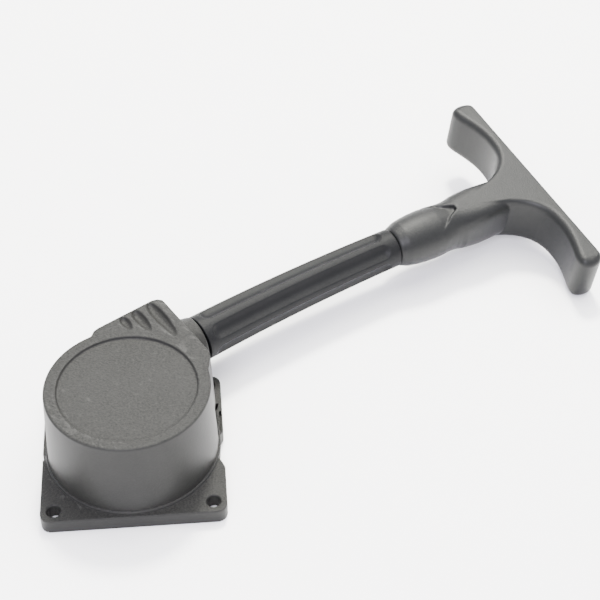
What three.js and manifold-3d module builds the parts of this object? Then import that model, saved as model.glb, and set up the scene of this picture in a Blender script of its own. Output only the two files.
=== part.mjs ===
// Recoil (pull) starter of a small model engine, in millimetres.
// The square flange lies on z = 0, its edges run along X and Y, and the reel turns about +Z.
// The cord leaves the reel on a tangent, runs out through the neck of the housing, then through
// a fluted sleeve, and ends in the knot behind the T grip.
import * as THREE from 'three';
import { mergeVertices } from 'three/addons/utils/BufferGeometryUtils.js';
import Module from 'manifold-3d';

const wasm = await Module();
wasm.setup();

const DEG = Math.PI / 180;

// housing
const FLANGE_SIDE = 43.5;
const FLANGE_THICK = 4.0;
const FLANGE_CORNER_R = 3.0;
const SCREW_SPACING = 37.0;
const SCREW_HOLE_R = 1.6;
const EDGE_WAIST = { depth: 1.2, centreY: -2.4, innerHalf: 3.2, outerHalf: 8.5 };
const GATE_NOTCH = { depth: 0.7, centreY: -2.6, innerHalf: 1.3, outerHalf: 2.2 };
const GATE_NIB = { width: 1.7, depth: 1.3, height: 1.2, centreZ: 2.4 };
const HEIGHT = 24.8;
const DRUM_TOP_R = 19.5;
const DRUM_FOOT_R = 20.5;
const TOP_EDGE_CHAMFER = 0.45;
const FOOT_BEAD = 0.4;
const RECESS_R = 16.45;
const RECESS_DEPTH = 0.7;
const CAVITY_R = 17.3;
const CAVITY_TOP = 22.0;
const POST_R = 2.9;
const POST_END = 9.2;
const PILOT_R = 1.3;
const PILOT_TOP = 15.0;
const WALL_DRAFT = 0.045;

// cord route: exit line, sleeve and grip
const EXIT_AZIMUTH = 30 * DEG;
const CORD_R = 1.0;
const CORD_EXIT_OFFSET = 14.8;
const CORD_Z = 12.4;
const BLOCK_END = 21.9;
const NECK_ROOT_R = 6.9;
const NECK_TIP_R = 6.1;
const NECK_START = 12;
const NECK_END = 27.7;
const OUTLET_BORE_R = 1.7;
const EYELET_R = 3.0;
const EYELET_DEPTH = 2.6;
const SLEEVE_START = 28.0;
const SLEEVE_LENGTH = 60.6;
const SLEEVE_BOW = 1.6;
const SLEEVE_R = 5.5;
const SLEEVE_BORE_R = 1.6;
const FLUTE_COUNT = 6;
const FLUTE_CUT_R = 4.4;
const FLUTE_CUT_OFFSET = 8.95;
const FLUTE_TURN = 12 * DEG;
const FLUTE_MARGIN = 2.2;
const GRIP_AZIMUTH = 25.3 * DEG;
const GRIP_ROLL = 9.0 * DEG;
const GRIP_LENGTH = 45.5;
const GRIP_HALF_WIDTH = 32.7;
const GRIP_THICK = 14.6;
const GRIP_GAP = 0.35;
const GRIP_RIM = { height: 0.6, inset: 0.5 };
const GRIP_RIDGE = { start: 26, end: 12, startHalf: 0.9, endHalf: 3.4, halfHeight: 7.1 };
const GRIP_BORE_R = 1.5;
const KNOT_POCKET_R = 3.1;
const KNOT_POCKET_DEPTH = 6.5;
const KNOT_R = 2.1;
const KNOT_SEAT = 0.9;

// reel, spring and one-way clutch
const REEL_FLANGE_R = 16.4;
const REEL_CORE_R = 9.5;
const REEL_HUB_R = 6.6;
const REEL_BOSS_R = 4.8;
const REEL_BORE_R = 3.2;
const REEL_KNOT = { radius: 7.35, z: 11.3, ballR: 1.75 };
const REEL_POCKET = { radius: 7.6, deep: 4.6, wide: 4.4, high: 4.0 };
const SPRING_SLOT = { deep: 1.2, wide: 0.9, spare: 0.4 };
const CLUTCH_SEAT_R = 5.06;
const CLUTCH_R = 5.0;
const CLUTCH_BASE = 1.0;
const CLUTCH_TOP = 6.6;
const CLUTCH_WALL = 0.5;
const CLUTCH_LIP = 0.4;
const CAGE_INNER_R = 3.25;
const CAGE_OUTER_R = 4.25;
const ROLLER_COUNT = 6;
const ROLLER_R = 0.7;
const ROLLER_PITCH_R = 3.75;
const ROLLER_LENGTH = 3.6;
const COIL_PITCH = 2.1;
const COIL_INNER_R = 10.6;
const WINDING_ARC = 1930;
const STEP_ARC = 40;
const TUCK_ARC = 12;
const TUCK_DEPTH = 1.0;
const SPRING_BASE = 15.9;
const SPRING_HEIGHT = 5.0;
const SPRING_TURNS = 8;
const SPRING_STRIP = 0.4;
const SPRING_INNER_R = 5.3;
const SPRING_OUTER_R = 16.4;

const axisDir = new THREE.Vector3(Math.cos(EXIT_AZIMUTH), Math.sin(EXIT_AZIMUTH), 0);
const sideDir = new THREE.Vector3(-axisDir.y, axisDir.x, 0);
const gripDir = new THREE.Vector3(Math.cos(GRIP_AZIMUTH), Math.sin(GRIP_AZIMUTH), 0);

// a point given by its distance along the exit direction, its side offset and its height
function exitPoint(along, side, z) {
  return new THREE.Vector3()
    .addScaledVector(axisDir, along)
    .addScaledVector(sideDir, side)
    .setZ(z);
}

const sleeveFoot = exitPoint(SLEEVE_START, CORD_EXIT_OFFSET, CORD_Z);
const sleeveTip = exitPoint(SLEEVE_START + SLEEVE_LENGTH, CORD_EXIT_OFFSET, CORD_Z);
const sleeveBend = exitPoint(
  SLEEVE_START + SLEEVE_LENGTH / 2, CORD_EXIT_OFFSET + SLEEVE_BOW, CORD_Z);
const gripFoot = sleeveTip.clone().addScaledVector(gripDir, GRIP_GAP);

function solid(geometry) {
  const bare = geometry.index ? geometry.toNonIndexed() : geometry.clone();
  bare.deleteAttribute('normal');
  bare.deleteAttribute('uv');
  const merged = mergeVertices(bare, 1e-4);
  return new wasm.Manifold(new wasm.Mesh({
    numProp: 3,
    vertProperties: new Float32Array(merged.attributes.position.array),
    triVerts: new Uint32Array(merged.index.array),
  }));
}

function geometryOf(body) {
  const mesh = body.getMesh();
  const geometry = new THREE.BufferGeometry();
  geometry.setAttribute('position', new THREE.BufferAttribute(mesh.vertProperties, 3));
  geometry.setIndex(new THREE.BufferAttribute(mesh.triVerts, 1));
  geometry.computeVertexNormals();
  return geometry;
}

function material(color, roughness, metalness) {
  return new THREE.MeshStandardMaterial({ color, roughness, metalness });
}

function named(name, geometry, mat) {
  const mesh = new THREE.Mesh(geometry, mat);
  mesh.name = name;
  return mesh;
}

// turned about Z from [radius, z] pairs, closed along the axis or back to its first point
function turned(profile, segments) {
  const points = profile.map(([r, z]) => new THREE.Vector2(r, z));
  const geometry = new THREE.LatheGeometry(points, segments);
  geometry.rotateX(Math.PI / 2);
  return geometry;
}

function ringProfile(inner, outer, low, high) {
  return [[inner, low], [outer, low], [outer, high], [inner, high], [inner, low]];
}

function discProfile(radius, low, high) {
  return [[0, low], [radius, low], [radius, high], [0, high]];
}

// lays a shape that was built along +Z down along a horizontal direction from a start point
function laidAlong(geometry, start, direction) {
  const turn = new THREE.Quaternion().setFromUnitVectors(new THREE.Vector3(0, 0, 1), direction);
  geometry.applyQuaternion(turn);
  geometry.translate(start.x, start.y, start.z);
  return geometry;
}

function shapeOf(points) {
  return new THREE.Shape(points.map(([x, y]) => new THREE.Vector2(x, y)));
}

function slab(shape, low, high) {
  const geometry = new THREE.ExtrudeGeometry(shape, {
    depth: high - low,
    bevelEnabled: false,
    curveSegments: 6,
  });
  geometry.translate(0, 0, low);
  return geometry;
}

function circleShape(radius, segments) {
  const points = [];
  for (let i = 0; i < segments; i += 1) {
    const angle = (2 * Math.PI * i) / segments;
    points.push([radius * Math.cos(angle), radius * Math.sin(angle)]);
  }
  return shapeOf(points);
}

// a round bar along a curve
function bar(path, radius, segments, steps) {
  return new THREE.ExtrudeGeometry(circleShape(radius, segments), {
    steps,
    extrudePath: path,
    bevelEnabled: false,
  });
}

function flangeSolid() {
  const half = FLANGE_SIDE / 2;
  const r = FLANGE_CORNER_R;
  const shape = new THREE.Shape();
  shape.moveTo(-half + r, -half);
  shape.lineTo(half - r, -half);
  shape.absarc(half - r, -half + r, r, -Math.PI / 2, 0, false);
  shape.lineTo(half, half - r);
  shape.absarc(half - r, half - r, r, 0, Math.PI / 2, false);
  shape.lineTo(-half + r, half);
  shape.absarc(-half + r, half - r, r, Math.PI / 2, Math.PI, false);
  shape.lineTo(-half, -half + r);
  shape.absarc(-half + r, -half + r, r, Math.PI, 1.5 * Math.PI, false);
  for (const sx of [-1, 1]) {
    for (const sy of [-1, 1]) {
      const hole = new THREE.Path();
      hole.absarc(sx * SCREW_SPACING / 2, sy * SCREW_SPACING / 2, SCREW_HOLE_R, 0, 2 * Math.PI);
      shape.holes.push(hole);
    }
  }
  return solid(new THREE.ExtrudeGeometry(shape, {
    depth: FLANGE_THICK,
    bevelEnabled: false,
    curveSegments: 10,
  }));
}

// shallow cut in one side edge of the flange; side is 1 for the right edge and -1 for the left
function edgeCut({ depth, centreY, innerHalf, outerHalf }, side) {
  const inner = side * (FLANGE_SIDE / 2 - depth);
  const outer = side * (FLANGE_SIDE / 2 + 1.25);
  const points = [
    [inner, centreY - innerHalf], [outer, centreY - outerHalf],
    [outer, centreY + outerHalf], [inner, centreY + innerHalf],
  ];
  return solid(slab(shapeOf(side > 0 ? points : points.reverse()), -1, FLANGE_THICK + 1));
}

// tail left by the moulding gate in the small notch
function gateNib() {
  const geometry = new THREE.BoxGeometry(GATE_NIB.width, GATE_NIB.depth, GATE_NIB.height);
  geometry.translate(-FLANGE_SIDE / 2 + GATE_NOTCH.depth, GATE_NOTCH.centreY, GATE_NIB.centreZ);
  return solid(geometry);
}

function drumSolid() {
  return solid(turned([
    [0, 1],
    [DRUM_FOOT_R + FOOT_BEAD, 1],
    [DRUM_FOOT_R + FOOT_BEAD, FLANGE_THICK + 0.1],
    [DRUM_FOOT_R, FLANGE_THICK + 0.1 + FOOT_BEAD],
    [DRUM_TOP_R, HEIGHT - TOP_EDGE_CHAMFER],
    [DRUM_TOP_R - TOP_EDGE_CHAMFER, HEIGHT],
    [0, HEIGHT],
  ], 72));
}

// the block around the cord outlet, a little wider at its foot than at its top face
function blockSolid() {
  const outline = [
    [-2.0, 8.0], [1.0, 19.2], [2.5, 20.5], [3.8, 20.9], [19.4, 21.9], [20.9, 21.5],
    [BLOCK_END - 0.1, 20.6], [BLOCK_END, 19.4], [BLOCK_END, -0.4], [BLOCK_END - 0.3, -1.8],
    [20.9, -2.9], [17.3, -7.6], [8.0, -8.0],
  ];
  const geometry = slab(shapeOf(outline), FLANGE_THICK - 0.5, HEIGHT);
  const position = geometry.attributes.position;
  for (let i = 0; i < position.count; i += 1) {
    const grow = 1 + (WALL_DRAFT * (HEIGHT - position.getZ(i))) / HEIGHT;
    position.setX(i, position.getX(i) * grow);
    position.setY(i, position.getY(i) * grow);
  }
  geometry.rotateZ(EXIT_AZIMUTH);
  return solid(geometry);
}

function neckSolid() {
  const length = NECK_END - NECK_START;
  const geometry = turned([
    [0, 0], [NECK_ROOT_R, 0], [NECK_ROOT_R, length - 4.7], [NECK_ROOT_R - 0.2, length - 3.2],
    [NECK_TIP_R + 0.2, length - 1.7], [NECK_TIP_R, length - 0.3], [NECK_TIP_R - 0.2, length],
    [0, length],
  ], 36);
  return solid(laidAlong(geometry, exitPoint(NECK_START, CORD_EXIT_OFFSET, CORD_Z), axisDir));
}

// three tapered gouges in the top of the block, longer towards the outlet; each stops at a rim
function gougeCutters() {
  const gouges = [
    { along: 10.3, mouth: 20.7, tip: 16.0, radius: 1.2 },
    { along: 13.9, mouth: 20.9, tip: 12.8, radius: 1.5 },
    { along: 18.4, mouth: 21.1, tip: 7.2, radius: 1.7 },
  ];
  return gouges.map(({ along, mouth, tip, radius }) => {
    const cone = turned([[0, 0], [radius, mouth - tip], [0, mouth - tip]], 16);
    return solid(laidAlong(cone, exitPoint(along, tip, HEIGHT), sideDir));
  });
}

function housing() {
  let body = flangeSolid().subtract(edgeCut(EDGE_WAIST, 1)).subtract(edgeCut(GATE_NOTCH, -1));
  body = body.add(drumSolid()).add(blockSolid()).add(neckSolid()).add(gateNib());
  for (const gouge of gougeCutters()) {
    body = body.subtract(gouge);
  }
  const eyeletSeat = exitPoint(NECK_END - EYELET_DEPTH, CORD_EXIT_OFFSET, CORD_Z);
  body = body.subtract(solid(turned(discProfile(RECESS_R, HEIGHT - RECESS_DEPTH, HEIGHT + 1), 72)));
  body = body.subtract(solid(turned(discProfile(CAVITY_R, -1, CAVITY_TOP), 72)));
  body = body.subtract(solid(laidAlong(
    turned(discProfile(OUTLET_BORE_R, 0, NECK_END + 2), 16),
    exitPoint(0, CORD_EXIT_OFFSET, CORD_Z), axisDir)));
  body = body.subtract(solid(laidAlong(
    turned(discProfile(EYELET_R + 0.05, 0, EYELET_DEPTH + 1), 24), eyeletSeat, axisDir)));
  body = body.add(solid(turned(discProfile(POST_R, POST_END, CAVITY_TOP + 0.5), 32)));
  body = body.subtract(solid(turned(discProfile(PILOT_R, POST_END - 1, PILOT_TOP), 16)));
  return named('housing', geometryOf(body), material(0x3d3f41, 0.6, 0.0));
}

function exitEyelet() {
  const geometry = turned([
    [1.45, 0], [EYELET_R, 0], [EYELET_R, EYELET_DEPTH - 0.1], [2.1, EYELET_DEPTH - 0.1],
    [1.6, 2.2], [1.45, 1.6], [1.45, 0],
  ], 24);
  laidAlong(geometry, exitPoint(NECK_END - EYELET_DEPTH, CORD_EXIT_OFFSET, CORD_Z), axisDir);
  return named('exit_eyelet', geometry, material(0xb9bcc0, 0.3, 0.9));
}

function reel() {
  const profile = [
    [CLUTCH_SEAT_R, 0.8], [REEL_HUB_R, 0.8], [REEL_HUB_R, 7.8], [REEL_FLANGE_R, 7.8],
    [REEL_FLANGE_R, 9.0], [REEL_CORE_R, 9.2], [REEL_CORE_R, 13.5], [REEL_FLANGE_R, 13.7],
    [REEL_FLANGE_R, 14.9], [REEL_BOSS_R, 14.9], [REEL_BOSS_R, 21.5], [REEL_BORE_R, 21.5],
    [REEL_BORE_R, 9.4], [CLUTCH_SEAT_R, 9.4], [CLUTCH_SEAT_R, 0.8],
  ];
  const pocket = new THREE.BoxGeometry(REEL_POCKET.deep, REEL_POCKET.wide, REEL_POCKET.high);
  pocket.translate(REEL_POCKET.radius, 0, REEL_KNOT.z);
  pocket.rotateZ(windingStart());
  const slot = new THREE.BoxGeometry(
    SPRING_SLOT.deep, SPRING_SLOT.wide, SPRING_HEIGHT + SPRING_SLOT.spare);
  slot.translate(REEL_BOSS_R, 0, SPRING_BASE + SPRING_HEIGHT / 2);
  const body = solid(turned(profile, 48)).subtract(solid(pocket)).subtract(solid(slot));
  return named('reel', geometryOf(body), material(0xd8d6cc, 0.5, 0.0));
}

function reelWasher() {
  const geometry = turned(ringProfile(1.4, 4.4, 8.5, POST_END - 0.02), 32);
  return named('reel_washer', geometry, material(0xa8abae, 0.35, 0.9));
}

function reelScrew() {
  const body = solid(turned([
    [0, 7.0], [2.0, 7.0], [2.5, 7.4], [2.5, 8.48], [1.15, 8.48], [1.15, 14.0], [0.5, 14.5],
    [0, 14.5],
  ], 24));
  const slots = [0, 1].map((turn) => {
    const bit = new THREE.BoxGeometry(3.0, 0.6, 1.6);
    bit.rotateZ((turn * Math.PI) / 2);
    bit.translate(0, 0, 7.0);
    return solid(bit);
  });
  const screw = body.subtract(slots[0]).subtract(slots[1]);
  return named('reel_screw', geometryOf(screw), material(0x8d9093, 0.35, 0.9));
}

function clutchShell() {
  const geometry = turned([
    [CAGE_INNER_R, CLUTCH_BASE], [CLUTCH_R, CLUTCH_BASE], [CLUTCH_R, CLUTCH_TOP],
    [CAGE_INNER_R, CLUTCH_TOP], [CAGE_INNER_R, CLUTCH_TOP - CLUTCH_LIP],
    [CLUTCH_R - CLUTCH_WALL, CLUTCH_TOP - CLUTCH_LIP],
    [CLUTCH_R - CLUTCH_WALL, CLUTCH_BASE + CLUTCH_LIP],
    [CAGE_INNER_R, CLUTCH_BASE + CLUTCH_LIP], [CAGE_INNER_R, CLUTCH_BASE],
  ], 48);
  return named('clutch_shell', geometry, material(0x9a9ea3, 0.3, 0.95));
}

function rollerAngle(index) {
  return (2 * Math.PI * (index + 0.5)) / ROLLER_COUNT;
}

function clutchCage() {
  const low = CLUTCH_BASE + CLUTCH_LIP + 0.1;
  const high = CLUTCH_TOP - CLUTCH_LIP - 0.1;
  let body = solid(turned(ringProfile(CAGE_INNER_R, CAGE_OUTER_R, low, high), 48));
  for (let i = 0; i < ROLLER_COUNT; i += 1) {
    const pocket = new THREE.BoxGeometry(2.4, 1.7, ROLLER_LENGTH + 0.2);
    pocket.translate(ROLLER_PITCH_R, 0, (low + high) / 2);
    pocket.rotateZ(rollerAngle(i));
    body = body.subtract(solid(pocket));
  }
  return named('clutch_cage', geometryOf(body), material(0x2b2b2d, 0.55, 0.0));
}

function clutchRollers() {
  const middle = (CLUTCH_BASE + CLUTCH_TOP) / 2;
  const rollers = [];
  for (let i = 0; i < ROLLER_COUNT; i += 1) {
    const geometry = turned(discProfile(
      ROLLER_R, middle - ROLLER_LENGTH / 2, middle + ROLLER_LENGTH / 2), 16);
    geometry.translate(ROLLER_PITCH_R * Math.cos(rollerAngle(i)),
      ROLLER_PITCH_R * Math.sin(rollerAngle(i)), 0);
    rollers.push(named(`clutch_roller_${i + 1}`, geometry, material(0xc6c9cc, 0.2, 1.0)));
  }
  return rollers;
}

// flat spiral strip: its inner tail hooks into the slot of the reel boss
function recoilSpring() {
  const steps = SPRING_TURNS * 18;
  const outer = [];
  const inner = [];
  for (let i = 0; i <= steps; i += 1) {
    const share = i / steps;
    const angle = 2 * Math.PI * SPRING_TURNS * share;
    const r = SPRING_INNER_R + (SPRING_OUTER_R - SPRING_INNER_R) * share;
    outer.push([(r + SPRING_STRIP) * Math.cos(angle), (r + SPRING_STRIP) * Math.sin(angle)]);
    inner.push([r * Math.cos(angle), r * Math.sin(angle)]);
  }
  const hook = [[4.4, 0.0], [4.4, SPRING_STRIP - 0.1]];
  const outline = [...outer, ...inner.reverse().slice(0, -1), [5.3, SPRING_STRIP], ...hook.reverse()];
  const geometry = slab(shapeOf(outline), SPRING_BASE, SPRING_BASE + SPRING_HEIGHT);
  return named('recoil_spring', geometry, material(0x6f7479, 0.3, 0.95));
}

// The wound cord fills two columns, three layers deep. Each step over to the next column or
// layer comes a little earlier in the turn than the one before it, so no two turns cross.
const COLUMN_Z = [CORD_Z - COIL_PITCH, CORD_Z];

function windingStart() {
  return EXIT_AZIMUTH + Math.PI / 2 + WINDING_ARC * DEG;
}

function windingStation(degrees) {
  const stations = [
    { column: 0, layer: 0 }, { column: 1, layer: 0 }, { column: 1, layer: 1 },
    { column: 0, layer: 1 }, { column: 0, layer: 2 }, { column: 1, layer: 2 },
  ];
  let index = 0;
  let blend = 0;
  for (let k = 1; k < stations.length; k += 1) {
    const stepEnd = 360 + (k - 1) * (360 - STEP_ARC);
    if (degrees >= stepEnd) {
      index = k;
    } else if (degrees > stepEnd - STEP_ARC) {
      blend = (degrees - stepEnd + STEP_ARC) / STEP_ARC;
    }
  }
  const ease = (1 - Math.cos(Math.PI * blend)) / 2;
  const here = stations[index];
  const next = stations[Math.min(index + 1, stations.length - 1)];
  const radius = COIL_INNER_R + COIL_PITCH * (here.layer + ease * (next.layer - here.layer));
  const z = COLUMN_Z[here.column] + ease * (COLUMN_Z[next.column] - COLUMN_Z[here.column]);
  return { radius, z };
}

class WoundPath extends THREE.Curve {
  getPoint(t, target = new THREE.Vector3()) {
    const degrees = t * WINDING_ARC;
    const { radius, z } = windingStation(degrees);
    const tuck = Math.max(0, 1 - degrees / TUCK_ARC);
    const angle = windingStart() - degrees * DEG;
    const r = radius - TUCK_DEPTH * tuck * tuck;
    return target.set(r * Math.cos(angle), r * Math.sin(angle), z);
  }
}

function cordWinding() {
  const geometry = bar(new WoundPath(), CORD_R, 6, 136);
  return named('cord_winding', geometry, material(0xe6e2d6, 0.85, 0.0));
}

function reelKnot() {
  const geometry = new THREE.SphereGeometry(REEL_KNOT.ballR, 12, 8);
  geometry.translate(REEL_KNOT.radius, 0, REEL_KNOT.z);
  geometry.rotateZ(windingStart());
  return named('reel_knot', geometry, material(0xe6e2d6, 0.85, 0.0));
}

function sleevePath() {
  return new THREE.QuadraticBezierCurve3(sleeveFoot, sleeveBend, sleeveTip);
}

// the sleeve centreline moved sideways and up, between two shares of its length
function flutePath(side, up) {
  const points = [];
  const cut = FLUTE_MARGIN / SLEEVE_LENGTH;
  const across = new THREE.Vector3(0, 0, 1);
  for (let i = 0; i <= 8; i += 1) {
    const t = cut + ((1 - 1.8 * cut) * i) / 8;
    const normal = sleevePath().getTangent(t).cross(across);
    points.push(sleevePath().getPoint(t).addScaledVector(normal, side).add(
      new THREE.Vector3(0, 0, up)));
  }
  return new THREE.CatmullRomCurve3(points);
}

function sleeve() {
  let body = solid(bar(sleevePath(), SLEEVE_R, 36, 8));
  body = body.subtract(solid(bar(cordCorePath(1.5), SLEEVE_BORE_R, 12, 8)));
  for (let i = 0; i < FLUTE_COUNT; i += 1) {
    const angle = Math.PI / 2 + FLUTE_TURN + (2 * Math.PI * i) / FLUTE_COUNT;
    const path = flutePath(FLUTE_CUT_OFFSET * Math.cos(angle), FLUTE_CUT_OFFSET * Math.sin(angle));
    body = body.subtract(solid(bar(path, FLUTE_CUT_R, 32, 8)));
  }
  return named('sleeve', geometryOf(body), material(0x35373a, 0.55, 0.0));
}

// the sleeve centreline run on straight past both ends
function cordCorePath(overrun) {
  const path = sleevePath();
  const points = [];
  points.push(path.getPoint(0).addScaledVector(path.getTangent(0), -overrun));
  for (let i = 0; i <= 8; i += 1) {
    points.push(path.getPoint(i / 8));
  }
  points.push(path.getPoint(1).addScaledVector(path.getTangent(1), overrun));
  return new THREE.CatmullRomCurve3(points);
}

function cordRun() {
  const points = [exitPoint(0.05, CORD_EXIT_OFFSET, CORD_Z)];
  points.push(exitPoint(14, CORD_EXIT_OFFSET, CORD_Z));
  points.push(exitPoint(27, CORD_EXIT_OFFSET, CORD_Z));
  for (let i = 1; i < 8; i += 1) {
    points.push(sleevePath().getPoint(i / 8));
  }
  const reach = GRIP_LENGTH - KNOT_POCKET_DEPTH + 0.8;
  for (let i = 0; i <= 3; i += 1) {
    const along = 3 + ((reach - 3) * i) / 3;
    points.push(gripFoot.clone().addScaledVector(gripDir, along));
  }
  const path = new THREE.CatmullRomCurve3(points, false, 'centripetal');
  return named('cord_run', bar(path, CORD_R, 8, 40), material(0xe6e2d6, 0.85, 0.0));
}

// moves a shape from grip axes (x towards the bar, z through its thickness) to its place
function placedInGrip(geometry) {
  geometry.rotateX(GRIP_ROLL);
  geometry.rotateZ(GRIP_AZIMUTH);
  geometry.translate(gripFoot.x, gripFoot.y, gripFoot.z);
  return geometry;
}

function turnedAlongGrip(profile, segments) {
  const geometry = turned(profile, segments);
  geometry.rotateY(Math.PI / 2);
  return geometry;
}

function grip() {
  const back = GRIP_LENGTH;
  const halfOutline = [
    [back - 15.3, 4.0], [back - 12.5, 4.7], [back - 10.4, 5.7], [back - 8.2, 7.1],
    [back - 6.2, 9.0], [back - 4.8, 11.2], [back - 3.95, 13.6], [back - 3.65, 16.5],
    [back - 3.75, 19.5], [back - 4.3, 22.4], [back - 5.2, 25.4], [back - 6.3, 28.2],
    [back - 6.6, 29.9], [back - 6.2, 31.3], [back - 5.0, 32.3], [back - 3.2, GRIP_HALF_WIDTH],
    [back - 1.2, 32.3], [back, 31.0], [back + 0.15, 29.0],
  ];
  const mirrored = halfOutline.map(([x, y]) => [x, -y]).reverse();
  const plate = new THREE.ExtrudeGeometry(shapeOf([...mirrored, ...halfOutline]), {
    depth: GRIP_THICK - 2 * GRIP_RIM.height,
    bevelEnabled: true,
    bevelThickness: GRIP_RIM.height,
    bevelSize: GRIP_RIM.inset,
    bevelOffset: -GRIP_RIM.inset,
    bevelSegments: 2,
    steps: 1,
  });
  plate.translate(0, 0, GRIP_RIM.height - GRIP_THICK / 2);
  const stem = turnedAlongGrip([
    [0, 0], [4.7, 0], [5.4, 0.7], [6.2, 2.7], [6.6, 5], [6.85, 7.5], [7.0, 10.5], [6.85, 13],
    [6.5, 15], [6.1, 17.4], [6.0, 19], [6.3, 20.5], [6.1, 25], [6.1, 31], [5.0, back - 8],
    [0, back - 8],
  ], 32);
  const { start, end, startHalf, endHalf, halfHeight } = GRIP_RIDGE;
  const ridge = slab(shapeOf([
    [back - start, -startHalf], [back - end, -endHalf], [back - end, endHalf],
    [back - start, startHalf],
  ]), -halfHeight, halfHeight);
  let body = solid(plate).add(solid(stem)).add(solid(ridge));
  body = body.subtract(solid(turnedAlongGrip(discProfile(GRIP_BORE_R, -1, back + 1), 16)));
  body = body.subtract(solid(turnedAlongGrip(
    discProfile(KNOT_POCKET_R, back - KNOT_POCKET_DEPTH, back + 1), 24)));
  return named('grip', placedInGrip(geometryOf(body)), material(0x35373a, 0.5, 0.0));
}

function gripWasher() {
  const floor = GRIP_LENGTH - KNOT_POCKET_DEPTH;
  const geometry = placedInGrip(turnedAlongGrip(
    ringProfile(1.35, 2.9, floor + 0.02, floor + 0.75), 24));
  return named('grip_washer', geometry, material(0xa8abae, 0.35, 0.9));
}

function gripKnot() {
  const geometry = new THREE.SphereGeometry(KNOT_R, 14, 10);
  geometry.translate(GRIP_LENGTH - KNOT_POCKET_DEPTH + KNOT_SEAT + KNOT_R, 0, 0);
  return named('grip_knot', placedInGrip(geometry), material(0xe6e2d6, 0.85, 0.0));
}

const starter = new THREE.Group();
starter.name = 'recoil_starter';
starter.add(
  housing(), exitEyelet(), reel(), reelWasher(), reelScrew(), clutchShell(), clutchCage(),
  ...clutchRollers(), recoilSpring(), cordWinding(), reelKnot(), cordRun(), sleeve(), grip(),
  gripWasher(), gripKnot(),
);

// origin: middle of the whole part's outline, on the floor
const bounds = new THREE.Box3().setFromObject(starter);
for (const mesh of starter.children) {
  mesh.geometry.translate(
    -(bounds.min.x + bounds.max.x) / 2, -(bounds.min.y + bounds.max.y) / 2, -bounds.min.z);
}

export default starter;
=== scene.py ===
import math

import bmesh
import bpy
from mathutils import Matrix, Vector


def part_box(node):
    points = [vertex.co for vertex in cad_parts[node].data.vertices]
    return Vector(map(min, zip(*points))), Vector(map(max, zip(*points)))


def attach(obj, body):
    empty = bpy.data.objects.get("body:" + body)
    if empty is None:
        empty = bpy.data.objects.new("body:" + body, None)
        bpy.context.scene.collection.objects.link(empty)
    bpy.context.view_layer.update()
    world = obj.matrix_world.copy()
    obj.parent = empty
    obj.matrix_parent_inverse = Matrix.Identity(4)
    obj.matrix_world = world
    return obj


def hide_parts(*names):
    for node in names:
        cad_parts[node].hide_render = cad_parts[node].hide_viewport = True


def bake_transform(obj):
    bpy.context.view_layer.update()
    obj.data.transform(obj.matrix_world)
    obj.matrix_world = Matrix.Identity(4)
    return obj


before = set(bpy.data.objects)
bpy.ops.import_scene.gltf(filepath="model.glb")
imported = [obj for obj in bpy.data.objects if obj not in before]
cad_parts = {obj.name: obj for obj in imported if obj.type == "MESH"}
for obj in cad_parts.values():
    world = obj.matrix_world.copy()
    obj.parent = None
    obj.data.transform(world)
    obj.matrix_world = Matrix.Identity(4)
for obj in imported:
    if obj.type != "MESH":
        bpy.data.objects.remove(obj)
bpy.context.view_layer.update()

# Pull starter of a small model engine. Shapes are drawn on a bench in millimetres, with the
# reel axis at the origin and the flange underside on z = 0, then moved to the frame in metres.
reelLow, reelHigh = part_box("reel")
benchToFrame = Matrix.Translation(
    ((reelLow.x + reelHigh.x) / 2, (reelLow.y + reelHigh.y) / 2, 0)) @ Matrix.Scale(0.001, 4)

route = {
    "exitTurn": math.radians(30),      # the cord leaves the housing this way
    "exitOffset": 14.8,                # beside the reel axis
    "height": 12.4,
    "cordRadius": 1.0,
    "sleeveStart": 28.0,
    "sleeveLength": 60.6,
    "sleeveBow": 1.6,
    "gripTurn": math.radians(25.3),
    "gripRoll": math.radians(9.0),
    "gripGap": 0.35,
    "gripLength": 45.5,
    "gripPocket": 6.5,                 # depth of the knot's pocket in the grip's back
}
exitDir = Vector((math.cos(route["exitTurn"]), math.sin(route["exitTurn"]), 0))
sideDir = Vector((-exitDir.y, exitDir.x, 0))
gripDir = Vector((math.cos(route["gripTurn"]), math.sin(route["gripTurn"]), 0))


def exitPoint(along, side, z):
    return exitDir * along + sideDir * side + Vector((0, 0, z))


def sleeveLine(share):
    # gently bowed centreline of the sleeve, and its heading
    start, offset, z = route["sleeveStart"], route["exitOffset"], route["height"]
    foot = exitPoint(start, offset, z)
    bend = exitPoint(start + route["sleeveLength"] / 2, offset + route["sleeveBow"], z)
    tip = exitPoint(start + route["sleeveLength"], offset, z)
    place = foot * (1 - share) ** 2 + bend * 2 * share * (1 - share) + tip * share ** 2
    heading = (bend - foot) * (1 - share) + (tip - bend) * share
    return place, heading.normalized()


gripFoot = sleeveLine(1)[0] + gripDir * route["gripGap"]
alongExit = Matrix.Translation(exitPoint(0, route["exitOffset"], route["height"])) @ Matrix(
    (sideDir.to_tuple(), (0, 0, 1), exitDir.to_tuple())).transposed().to_4x4()
alongGrip = (Matrix.Translation(gripFoot) @ Matrix.Rotation(route["gripTurn"], 4, "Z")
             @ Matrix.Rotation(route["gripRoll"], 4, "X"))
gripLathe = alongGrip @ Matrix.Rotation(math.pi / 2, 4, "Y")


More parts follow.
